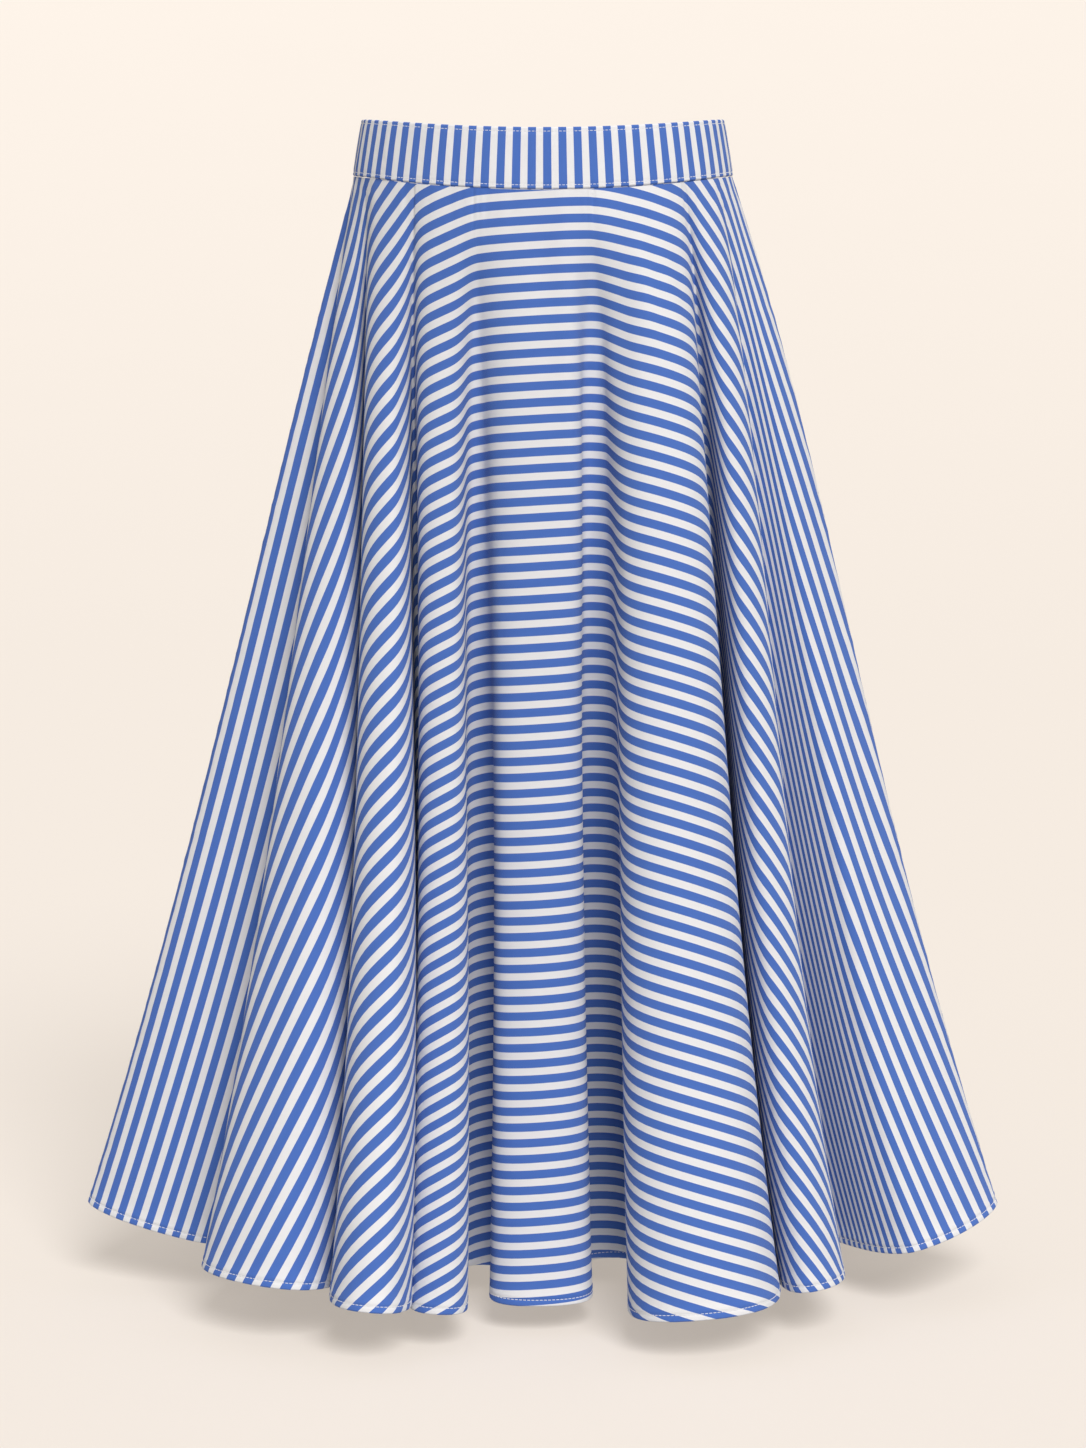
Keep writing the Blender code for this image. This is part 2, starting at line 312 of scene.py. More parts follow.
@dataclass(frozen=True)
class PlatedMetal:
    """Nickel plate, a little worn."""

    name: str = "plated_metal"
    colour: Colour = (0.74, 0.75, 0.77)

    def material(self) -> bpy.types.Material:
        """Bright metal whose roughness and tone vary with fine scratches."""
        n = Nodes(self.name)
        place = n.place()
        wear = n.noise(place, 0.0012, 4.0)
        brushed = n.noise(place, 0.0004, 2.0, (6.0, 1.0, 0.3))
        colour = n.mix(wear, darker(self.colour, 0.82), self.colour)
        return n.principled({"Metallic": 1.0}, {"Base Color": colour,
                                                "Roughness": 0.22 + brushed * 0.2,
                                                "Normal": n.bump(brushed, 0.00002)})


@dataclass(frozen=True)
class PlainPaper:
    """A seamless paper background."""

    name: str = "seamless_paper"
    colour: Colour = (0.430, 0.405, 0.385)
    glow: Colour = (0.95, 0.84, 0.72)
    glow_strength: float = 0.46

    def material(self) -> bpy.types.Material:
        """Matt cream paper with a very slight mottle."""
        n = Nodes(self.name)
        mottle = n.noise(n.place(), 1.2, 2.0)
        colour = n.mix(mottle, self.colour, darker(self.colour, 0.985))
        return n.principled({"Roughness": 0.95, "Specular IOR Level": 0.1,
                             "Emission Color": (*self.glow, 1.0),
                             "Emission Strength": self.glow_strength},
                            {"Base Color": colour})


# ---------------------------------------------------------------------------- mesh helpers


def unit(vectors: Grid) -> Grid:
    """The same directions, with length 1."""
    return vectors / np.maximum(np.linalg.norm(vectors, axis=-1, keepdims=True), 1e-12)


def side_by_side(*parts: Any) -> Grid:
    """Coordinates along a new last axis, each spread out to the same shape."""
    return np.stack(np.broadcast_arrays(*parts), axis=-1)


def grid_facing(points: Grid) -> Grid:
    """The way that a grid of points faces: its way down crossed with its way round."""
    return unit(np.cross(np.gradient(points, axis=1), np.gradient(points, axis=0)))


def hermite(start: Grid, start_slope: Grid, end: Grid, end_slope: Grid, u: Grid) -> Grid:
    """The cubic from start to end with the given slopes.

    Args:
        start: Values at u = 0.
        start_slope: Slopes at u = 0.
        end: Values at u = 1.
        end_slope: Slopes at u = 1.
        u: The share of the way, from 0 to 1.

    Returns:
        The values at u.
    """
    stay = (1 + 2 * u) * (1 - u) ** 2
    reach = u * u * (3 - 2 * u)
    leave = u * (1 - u) ** 2
    arrive = u * u * (u - 1)
    return stay * start + leave * start_slope + reach * end + arrive * end_slope


def bent(values: Grid, power: float) -> Grid:
    """The same signs, with the sizes raised to a power."""
    return np.sign(values) * np.abs(values) ** power


def summed(steps: Grid) -> Grid:
    """Running totals of steps, from 0 on."""
    return np.concatenate([[0], np.cumsum(steps)])


def runs(path: Grid) -> Grid:
    """The distance along a path at each of its points."""
    return summed(np.linalg.norm(np.diff(path, axis=0), axis=1))


def circle(count: int) -> Grid:
    """Even angles once round, in radians."""
    return np.arange(count) * FULL_TURN / count


def along_runs(at: Grid, run: Grid, vectors: Grid) -> Grid:
    """Vectors between those at the points of a path, at given distances along it."""
    return side_by_side(*(np.interp(at, run, vectors[:, k]) for k in range(3)))


def signed_volume(points: Grid, quads: Grid) -> float:
    """Six times the volume inside a closed mesh: above 0 where its faces point outward."""
    a, b, c, d = (points[quads[:, k]] for k in range(4))
    return float((np.cross(a, b) * c + np.cross(a, c) * d).sum())


def turned_out(points: Grid, quads: Grid) -> Grid:
    """The quads of a closed mesh, turned so that they face outward."""
    return quads[:, ::-1] if signed_volume(points, quads) < 0 else quads


def closed_mesh(points: Grid, quads: Grid) -> Mesh:
    """A closed mesh that faces outward, with its own X and Z as flat coordinates."""
    quads = turned_out(points, quads)
    return points, quads, points[quads][..., [0, 2]]


def grid_quads(rows: int, columns: int, closed: bool = False, ring: bool = False) -> Grid:
    """Corner numbers of the quads between the points of a grid.

    Args:
        rows: How many rows of points.
        columns: How many points in a row.
        closed: Whether each row joins up with its own start.
        ring: Whether the last row joins up with the first.

    Returns:
        One row of four numbers for each quad, turning the same way.
    """
    index = np.arange(rows * columns).reshape(rows, columns)
    if closed:
        index = np.concatenate([index, index[:, :1]], axis=1)
    if ring:
        index = np.concatenate([index, index[:1]])
    quads = side_by_side(index[:-1, :-1], index[:-1, 1:], index[1:, 1:], index[1:, :-1])
    return quads.reshape(-1, 4)


def capped_quads(rings: int, around: int) -> Grid:
    """Corner numbers of a row of rings whose first and last are closed by quads across them."""
    low = np.arange(around // 2 - 1)
    cap = side_by_side(low, low + 1, around - 2 - low, around - 1 - low)
    end = cap[:, ::-1] + (rings - 1) * around
    return np.concatenate([grid_quads(rings, around, closed=True), cap, end])


def put(name: str, data: bpy.types.ID) -> bpy.types.Object:
    """Adds an object of this name and data to the scene, at the origin."""
    added = bpy.data.objects.new(name, data)
    bpy.context.scene.collection.objects.link(added)
    return added


def add_mesh(name: str, shape: Mesh, material: bpy.types.Material,
             sharp_degrees: float = 50.0) -> bpy.types.Object:
    """Puts points and quads into the scene as a smooth mesh.

    Args:
        name: The piece's name.
        shape: Its points, quads and flat coordinates, in metres.
        material: Its finish.
        sharp_degrees: Edges that turn more than this are drawn sharp.

    Returns:
        The new object, at the origin.
    """
    points, quads, flat = shape
    mesh = bpy.data.meshes.new(name)
    mesh.vertices.add(len(points))
    mesh.loops.add(quads.size)
    mesh.polygons.add(len(quads))
    for items, key, values, kind in (
        (mesh.vertices, "co", points, np.float32),
        (mesh.loops, "vertex_index", quads, np.int32),
        (mesh.polygons, "loop_start", np.arange(0, quads.size, 4), np.int32),
        (mesh.polygons, "loop_total", np.full(len(quads), 4), np.int32),
    ):
        items.foreach_set(key, np.ascontiguousarray(values, kind).ravel())
    layer = mesh.uv_layers.new(name="flat")
    layer.data.foreach_set("uv", np.ascontiguousarray(flat, np.float32).ravel())
    mesh.update(calc_edges=True)
    mesh.validate()
    mesh.shade_smooth()
    mesh.set_sharp_from_angle(angle=math.radians(sharp_degrees))
    mesh.materials.append(material)
    LOG.info("%s: %d faces", name, len(mesh.polygons))
    return put(name, mesh)


def declare(piece: bpy.types.Object, node: str = "", body: str = "skirt") -> None:
    """Declares a piece's body, the CAD node that it stands for, if it does."""
    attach(piece, body)
    if node:
        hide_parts(node)


def joined(parts: Iterable[Mesh]) -> Mesh:
    """Several meshes as one, in their order."""
    points, quads, flats = zip(*parts)
    starts = np.cumsum([0] + [len(part) for part in points])
    numbered = [part + start for part, start in zip(quads, starts)]
    return np.concatenate(points), np.concatenate(numbered), np.concatenate(flats)


# ---------------------------------------------------------------------------- the form


@dataclass(frozen=True)
class FoldLine:
    """A thread along the ridge or the valley of one fold.

    Its thread starts at waist degrees round the waist from the centre front and ends at (x, y) on
    the hem. The cloth there faces the way of faces and bends as broadly as breadth. A valley
    fades in below onset of the length. grain is the thread's angle in the flat cut, in degrees
    from the straight grain at the centre front or back.
    """

    name: str
    x: float
    y: float
    faces: float
    breadth: float
    waist: float
    onset: float
    grain: float


FOLD_LINES = tuple(FoldLine(*row) for row in (
    ("side_right", -0.355, 0.020, -82, 0.080, -90, 0.00, -90),
    ("ridge_1", -0.268, -0.028, -14, 0.060, -89, 0.00, -83),
    ("valley_1", -0.222, -0.020, -60, 0.030, -87, 0.00, -79.5),
    ("ridge_2", -0.214, -0.150, -27, 0.300, -79, 0.00, -71.5),
    ("valley_2", -0.138, 0.000, -28, 0.040, -67, 0.00, -61),
    ("ridge_3", -0.128, -0.202, -12, 0.195, -54, 0.00, -49.5),
    ("valley_3", -0.096, -0.020, -8, 0.070, -42, 0.00, -39.5),
    ("ridge_4", -0.076, -0.167, 0, 0.160, -32, 0.00, -25),
    ("valley_4", -0.047, -0.030, 0, 0.150, -20, 0.07, -11),
    ("ridge_5", 0.000, -0.125, 3, 0.260, -2, 0.00, -3.5),
    ("valley_5", 0.051, -0.015, 5, 0.200, 14, 0.08, 5),
    ("ridge_6", 0.119, -0.194, 8, 0.360, 33, 0.00, 20),
    ("valley_6", 0.160, 0.045, 18, 0.100, 47, 0.00, 37),
    ("ridge_7", 0.203, -0.139, 25, 0.165, 57, 0.00, 54),
    ("valley_7", 0.214, 0.000, 45, 0.050, 67, 0.00, 66),
    ("ridge_8", 0.285, -0.066, 25, 0.095, 80, 0.00, 77),
    ("side_left", 0.354, 0.018, 84, 0.090, 90, 0.00, 82),
    ("valley_8", 0.215, 0.060, 112, 0.045, 97, 0.00, 95),
    ("ridge_9", 0.285, 0.137, 125, 0.180, 107, 0.00, 105),
    ("valley_9", 0.150, 0.082, 135, 0.040, 118, 0.06, 118),
    ("ridge_10", 0.204, 0.218, 148, 0.190, 131, 0.00, 129),
    ("valley_10", 0.096, 0.080, 155, 0.035, 143, 0.00, 142),
    ("ridge_11", 0.105, 0.256, 165, 0.200, 155, 0.00, 154),
    ("valley_11", 0.050, 0.080, 175, 0.030, 166, 0.12, 168),
    ("centre_back", 0.004, 0.255, 180, 0.190, 180, 0.00, 180),
    ("valley_12", -0.048, 0.080, 185, 0.035, 195, 0.16, 192),
    ("ridge_12", -0.112, 0.262, 193, 0.240, 208, 0.00, 206),
    ("valley_13", -0.118, 0.076, 208, 0.030, 221, 0.00, 219),
    ("ridge_13", -0.210, 0.210, 215, 0.190, 232, 0.00, 231),
    ("valley_14", -0.165, 0.068, 225, 0.035, 243, 0.05, 241),
    ("ridge_14", -0.292, 0.130, 238, 0.170, 255, 0.00, 251),
    ("valley_15", -0.215, 0.060, 252, 0.045, 264, 0.00, 259),
))


@dataclass(frozen=True)
class Crease:
    """A soft trough (below 0) or ridge (above 0) on the skirt, in the skirt's own places.

    It runs from (place, down) by (drift, length), where place counts fold lines and down is a
    share of the cloth's length.
    """

    place: float
    down: float
    drift: float
    length: float
    width: float
    height: float

    def heights(self, place: Grid, down: Grid, stride: Grid) -> Grid:
        """How far the crease moves each point outward.

        Across it the height falls as a bell curve of its width in metres. Along it the height
        rises and falls as the square of half a sine wave.

        Args:
            place: Places round the skirt, (n, 1).
            down: Shares of the length, (1, m).
            stride: Metres of cloth in one step of place, (n, m).

        Returns:
            Heights in metres, (n, m).
        """
        along = np.clip((down - self.down) / self.length, 0, 1)
        middle = self.place + self.drift * along
        turned = (place - middle + LINES_ROUND / 2) % LINES_ROUND - LINES_ROUND / 2
        across = turned * stride
        return self.height * np.exp(-(across / self.width) ** 2) * np.sin(math.pi * along) ** 2


LINE_NAMES = tuple(line.name for line in FOLD_LINES)
LINES_ROUND = len(FOLD_LINES)
IS_VALLEY = np.array(["valley" in name for name in LINE_NAMES])
VALLEY_PINCH = 0.2
"""How much of the usual slope a valley takes round the waist."""
RIDGE_SPREAD = 2.3
"""How much of it a ridge between two valleys takes."""

CREASES = tuple(Crease(*row) for row in (
    (9.25, -0.08, 0.10, 0.55, 0.011, 0.0026),
    (9.82, -0.06, 0.12, 0.50, 0.015, -0.0034),
    (10.55, 0.02, 0.20, 0.20, 0.009, -0.0022),
    (10.80, 0.02, 0.22, 0.17, 0.006, 0.0018),
    (11.10, 0.03, 0.28, 0.11, 0.006, -0.0014),
    (12.70, 0.02, 0.30, 0.10, 0.006, 0.0016),
    (9.10, 0.01, -0.10, 0.12, 0.010, -0.0010),
    (7.30, 0.01, -0.15, 0.14, 0.008, 0.0012),
    (5.20, 0.05, 0.10, 0.30, 0.010, -0.0015),
    (3.10, 0.20, 0.10, 0.60, 0.012, -0.0022),
    (0.55, 0.25, 0.10, 0.70, 0.014, -0.0024),
    (15.45, 0.20, 0.10, 0.75, 0.014, -0.0024),
    (15.05, 0.35, -0.10, 0.60, 0.010, 0.0016),
    (11.05, 0.40, 0.05, 0.58, 0.016, -0.0022),
    (8.85, 0.45, 0.05, 0.50, 0.014, -0.0016),
    (13.10, 0.30, 0.10, 0.60, 0.009, 0.0012),
    (18.00, 0.25, 0.15, 0.60, 0.014, -0.0022),
    (20.10, 0.10, -0.10, 0.70, 0.012, -0.0024),
    (22.05, 0.40, 0.10, 0.55, 0.014, -0.0022),
    (24.60, 0.04, 0.20, 0.16, 0.008, 0.0018),
    (23.20, 0.03, -0.20, 0.14, 0.008, -0.0016),
    (25.95, 0.30, 0.10, 0.65, 0.015, -0.0022),
    (28.05, 0.20, -0.10, 0.70, 0.012, -0.0020),
    (30.10, 0.35, 0.10, 0.60, 0.013, -0.0022),
))


@dataclass(frozen=True)
class SkirtForm:
    """The worn shape of the skirt and the flat cut that it hangs from."""

    waist_top: tuple[float, float] = (0.1330, 0.0910)
    waist_seam: tuple[float, float] = (0.1400, 0.0970)
    band_top: float = 0.0220
    band_seam: float = -0.0190
    front_dip_top: float = 0.0080
    front_dip_seam: float = 0.0110
    back_dip: float = 0.0040
    seam_step: float = 0.0005
    length: float = 0.818
    hip: float = 0.0040
    hip_to_left: float = 0.0030
    bell: float = 0.0060
    nudge: float = 0.001
    samples_per_line: int = 120

    @staticmethod
    def column(name: str) -> Grid:
        """One column of the fold lines as an array."""
        return np.array([getattr(line, name) for line in FOLD_LINES], float)

    @staticmethod
    def split(place: Grid) -> tuple[Grid, Grid, Grid]:
        """The fold line before each place, the one after it and the share between them."""
        before = np.floor(place).astype(int)
        return before % LINES_ROUND, (before + 1) % LINES_ROUND, place - before

    @staticmethod
    def pinch() -> Grid:
        """How the slope at each line differs from the smaller gap beside it."""
        amid = np.roll(IS_VALLEY, 1) & np.roll(IS_VALLEY, -1)
        return np.where(IS_VALLEY, VALLEY_PINCH, np.where(amid, RIDGE_SPREAD, 1.0))

    def even_rise(self, name: str, place: Grid) -> Grid:
        """A column of angles as radians that rise smoothly, with no overshoot, round the skirt.

        The slope at a line is the smaller of the gaps on both sides. Between two valleys a ridge
        takes more of it and a valley less, so that folds start narrow at the waist. Between lines
        the angle is a cubic.

        Args:
            name: The column.
            place: Places round the skirt.

        Returns:
            The angles, from the first line's up to a full turn more.
        """
        angles = np.radians(self.column(name))
        gaps = np.roll(angles, -1) - angles
        gaps[-1] += FULL_TURN
        slopes = self.pinch() * np.minimum(gaps, np.roll(gaps, 1))
        start, end, u = self.split(place)
        turns = FULL_TURN * np.floor(place / LINES_ROUND)
        first = angles[start] + turns
        return hermite(first, slopes[start], first + gaps[start], slopes[end], u)

    @staticmethod
    def ellipse(halves: tuple[float, float], angle: Grid) -> Grid:
        """Plan points of an ellipse at angles from the centre front."""
        return side_by_side(halves[0] * np.sin(angle), -halves[1] * np.cos(angle))

    def dip(self, angle: Grid, front: float) -> Grid:
        """How far an edge of the waistband sinks at the middle of the front and of the back."""
        return np.where(np.cos(angle) > 0, front, self.back_dip) * np.cos(angle) ** 2

    def hem_lines(self) -> tuple[Grid, Grid]:
        """The fold lines' points on the hem, and unit directions along the hem there."""
        facing = np.radians(self.column("faces"))
        return (side_by_side(self.column("x"), self.column("y")),
                side_by_side(np.cos(facing), np.sin(facing)))

    def hem_plan(self, place: Grid) -> Grid:
        """Plan of the hem: cubics through the fold lines, along the way that each one faces."""
        points, along = self.hem_lines()
        along = self.column("breadth")[:, None] * along
        start, end, u = self.split(place)
        return hermite(points[start], along[start], points[end], along[end], u[..., None])

    def smooth_plan(self, place: Grid) -> Grid:
        """Plan of the hem as it would run from ridge to ridge, with no valleys between."""
        points, along = self.hem_lines()
        start, end, u = self.split(place)
        into, out_of = IS_VALLEY[end], IS_VALLEY[start]
        first = np.where(out_of, start - 1, start)
        last = np.where(into, (end + 1) % LINES_ROUND, end)
        share = np.where(into, u / 2, np.where(out_of, (1 + u) / 2, u))[..., None]
        reach = np.linalg.norm(points[last] - points[first], axis=-1)[..., None]
        return hermite(points[first], reach * along[first], points[last], reach * along[last],
                       share)

    def middle(self, place: Grid, down: Grid) -> Grid:
        """The middle of the cloth with no creases.

        A thread runs straight from the waist seam to the hem and drops so far that it keeps its
        length. A valley fades in as 1 minus the exponential of a cube. A small fullness below the
        waist and a hollow above the hem are polynomials of the share of the way down, times 9.5
        and 6.75 so that their peaks are 1.

        Args:
            place: Places round the skirt, (n, 1) or (n, m).
            down: Shares of the length, (m,).

        Returns:
            Points, (n, m, 3).
        """
        angle = self.even_rise("waist", place)
        waist = self.ellipse(self.waist_seam, angle)
        hem, smooth = self.hem_plan(place), self.smooth_plan(place)
        across = np.linalg.norm(hem - waist, axis=-1)
        top = self.band_seam - self.seam_step - self.dip(angle, self.front_dip_seam)
        drop = np.sqrt(self.length**2 - across**2)
        onsets = self.column("onset")
        start, end, _ = self.split(place)
        onset = np.maximum(np.maximum(onsets[start], onsets[end]), 1e-6)[..., None]
        s = down[None, :, None]
        grown = 1 - np.exp(-((s / onset) ** 3))
        lower = smooth + grown * (hem - smooth)
        hip = (self.hip + self.hip_to_left * np.sin(angle))[..., None]
        bulge = 9.5 * hip * s * (1 - s) ** 3 - 6.75 * self.bell * s**2 * (1 - s)
        outward = self.ellipse((1.0, 1.0), angle)
        plan = (1 - s) * waist + s * lower + bulge * outward
        height = top - drop * down[None, :]
        return np.concatenate([plan, height[:, :, None]], axis=2)

    def outward(self, place: Grid, down: Grid) -> tuple[Grid, Grid]:
        """The way that the cloth faces, and the metres of cloth in one step of place.

        Args:
            place: Places round the skirt, (n, 1) or (n, m).
            down: Shares of the length, (m,).

        Returns:
            Unit directions, (n, m, 3), and strides, (n, m).
        """
        step = self.middle(place + self.nudge, down) - self.middle(place - self.nudge, down)
        lower, upper = np.minimum(down + self.nudge, 1), np.maximum(down - self.nudge, 0)
        fall = self.middle(place, lower) - self.middle(place, upper)
        return unit(np.cross(fall, step)), np.linalg.norm(step, axis=2) / (2 * self.nudge)

    def creased(self, place: Grid, down: Grid) -> Grid:
        """The middle of the cloth, moved outward by every crease."""
        outward, stride = self.outward(place, down)
        height = np.zeros(outward.shape[:2])
        for crease in CREASES:
            height += crease.heights(place, down[None, :], stride)
        return self.middle(place, down) + height[:, :, None] * outward

    def sheet(self, place: Grid, down: Grid) -> tuple[Grid, Grid]:
        """The creased cloth and the way that it faces.

        The direction is the cross product of the way down and the way round, from differences
        between neighbours on a grid that is one column larger at each side.

        Args:
            place: Places round the skirt, (n, 1) or (n, m), rising.
            down: Shares of the length, (m,), rising.

        Returns:
            Points and unit directions, both (n, m, 3).
        """
        wide = np.concatenate([2 * place[:1] - place[1:2], place, 2 * place[-1:] - place[-2:-1]])
        points = self.creased(wide, down)
        return points[1:-1], grid_facing(points)[1:-1]

    def dense(self, first: float, last: float) -> Grid:
        """Close, even places from first to last."""
        return np.linspace(first, last, int((last - first) * self.samples_per_line) + 1)

    def grain(self, place: Grid, first: float, last: float) -> Grid:
        """The angle of each thread in the flat cut, as radians from the straight grain.

        Between the fold lines it rises with the angle by which the threads fan out, which is how
        much longer the hem is than the waist, by cubics that don't overshoot.

        Args:
            place: Places between first and last, (n,), rising.
            first: The place of the panel's first edge.
            last: The place of its last edge.

        Returns:
            The angles, (n,).
        """
        dense = self.dense(first, last)
        edges = self.middle(dense[:, None], np.array([0.0, 1.0]))
        waist, hem = np.linalg.norm(np.diff(edges, axis=0), axis=2).T
        fan = summed(np.maximum(hem - waist, 1e-6))
        lines = np.arange(first, last + 1)
        knots = np.interp(lines, dense, fan)
        angles = np.radians(self.column("grain")[lines.astype(int) % LINES_ROUND])
        angles = angles + FULL_TURN * np.floor(lines / LINES_ROUND)
        width, rise = np.diff(knots), np.diff(angles)
        rate = rise / width
        slopes = np.concatenate([rate[:1], 2 * rate[1:] * rate[:-1] / (rate[1:] + rate[:-1]),
                                 rate[-1:]])
        at = np.interp(place, dense, fan)
        k = np.clip(np.searchsorted(knots, at, side="right") - 1, 0, len(width) - 1)
        return hermite(angles[k], slopes[k] * width[k], angles[k + 1], slopes[k + 1] * width[k],
                       (at - knots[k]) / width[k])

    def flat(self, first: float, last: float, place: Grid, down: Grid) -> Grid:
        """Flat coordinates of a panel, in metres, from the middle of its waist edge.

        The waist edge is walked along in the flat at the angle of the threads that leave it, and
        a point lies down its thread from there.

        Args:
            first: The place of the panel's first edge.
            last: The place of its last edge.
            place: Places on the panel, (n,).
            down: Shares of the length, (m,).

        Returns:
            Across and up in the flat, (n, m, 2).
        """
        dense = self.dense(first, last)
        waist = self.ellipse(self.waist_seam, self.even_rise("waist", dense))
        steps = np.linalg.norm(np.diff(waist, axis=0), axis=1)
        grain = self.grain(dense, first, last)
        grain = grain - (0 if first < LINE_NAMES.index("side_left") else math.pi)
        between = (grain[1:] + grain[:-1]) / 2
        across, up = summed(steps * np.cos(between)), summed(steps * np.sin(between))
        middle = np.argmin(np.abs(grain))
        across, up = across - across[middle], up - up[middle]
        angle = np.interp(place, dense, grain)
        run = down[None, :] * self.length
        return side_by_side(
            np.interp(place, dense, across)[:, None] + run * np.sin(angle)[:, None],
            np.interp(place, dense, up)[:, None] - run * np.cos(angle)[:, None],
        )

    def band(self, angle: Grid, down: Grid) -> Grid:
        """The middle of the waistband: straight lines between its two edges, (n, m, 3)."""
        share = down[None, :, None]
        top = self.ellipse(self.waist_top, angle)[:, None]
        seam = self.ellipse(self.waist_seam, angle)[:, None]
        plan = (1 - share) * top + share * seam
        high = (self.band_top - self.dip(angle, self.front_dip_top))[:, None]
        low = (self.band_seam - self.dip(angle, self.front_dip_seam))[:, None]
        height = (1 - down) * high + down * low
        return np.concatenate([plan, height[:, :, None]], axis=2)


FORM = SkirtForm()


# ---------------------------------------------------------------------------- the cloth


@dataclass(frozen=True)
class Layers:
    """A closed cross-section of doubled or turned cloth, as pairs of an outer and an inner point.

    down holds shares of the length, and outer and inner hold metres along the way that the cloth
    faces. The last pair is the fold or the raw edge, where both sides meet.
    """

    down: Grid
    outer: Grid
    inner: Grid


def wall_from(points: Grid, facing: Grid, layers: Layers, flat: Grid) -> Mesh:
    """A closed wall that runs down the outside, round the lower edge and up the inside.

    Each outer and inner point is the sheet's point plus its layer's height along the way that
    the sheet faces. The rows of quads go all the way round the section, and a column of quads
    closes each end.

    Args:
        points: The sheet, (n, m, 3).
        facing: Unit directions, (n, m, 3).
        layers: The cross-section, with m pairs.
        flat: Flat coordinates, (n, m, 2).

    Returns:
        The wall.
    """
    outside = points + layers.outer[None, :, None] * facing
    inside = points + layers.inner[None, :, None] * facing
    ring = np.concatenate([outside, inside[:, ::-1]], axis=1)
    ring_flat = np.concatenate([flat, flat[:, ::-1]], axis=1)
    points, quads = ring.reshape(-1, 3), capped_quads(*ring.shape[:2])
    quads = turned_out(points, quads)
    return points, quads, ring_flat.reshape(-1, 2)[quads]


def uneven(distance: Grid, length: float, seed: float) -> Grid:
    """An irregular ripple from about -1 to 1: three sine waves whose lengths share no measure."""
    turns = FULL_TURN * distance / length
    return (np.sin(turns + seed) + 0.6 * np.sin(1.73 * turns + 2.1 * seed)
            + 0.4 * np.sin(2.91 * turns + 0.7 * seed)) / 2


SEAM_GAP = 0.003
"""How far apart two panels' edges are at a seam, in steps of place."""
STRIDE_AT_WAIST = 0.028
"""About how many metres of cloth one step of place is, below the waist."""


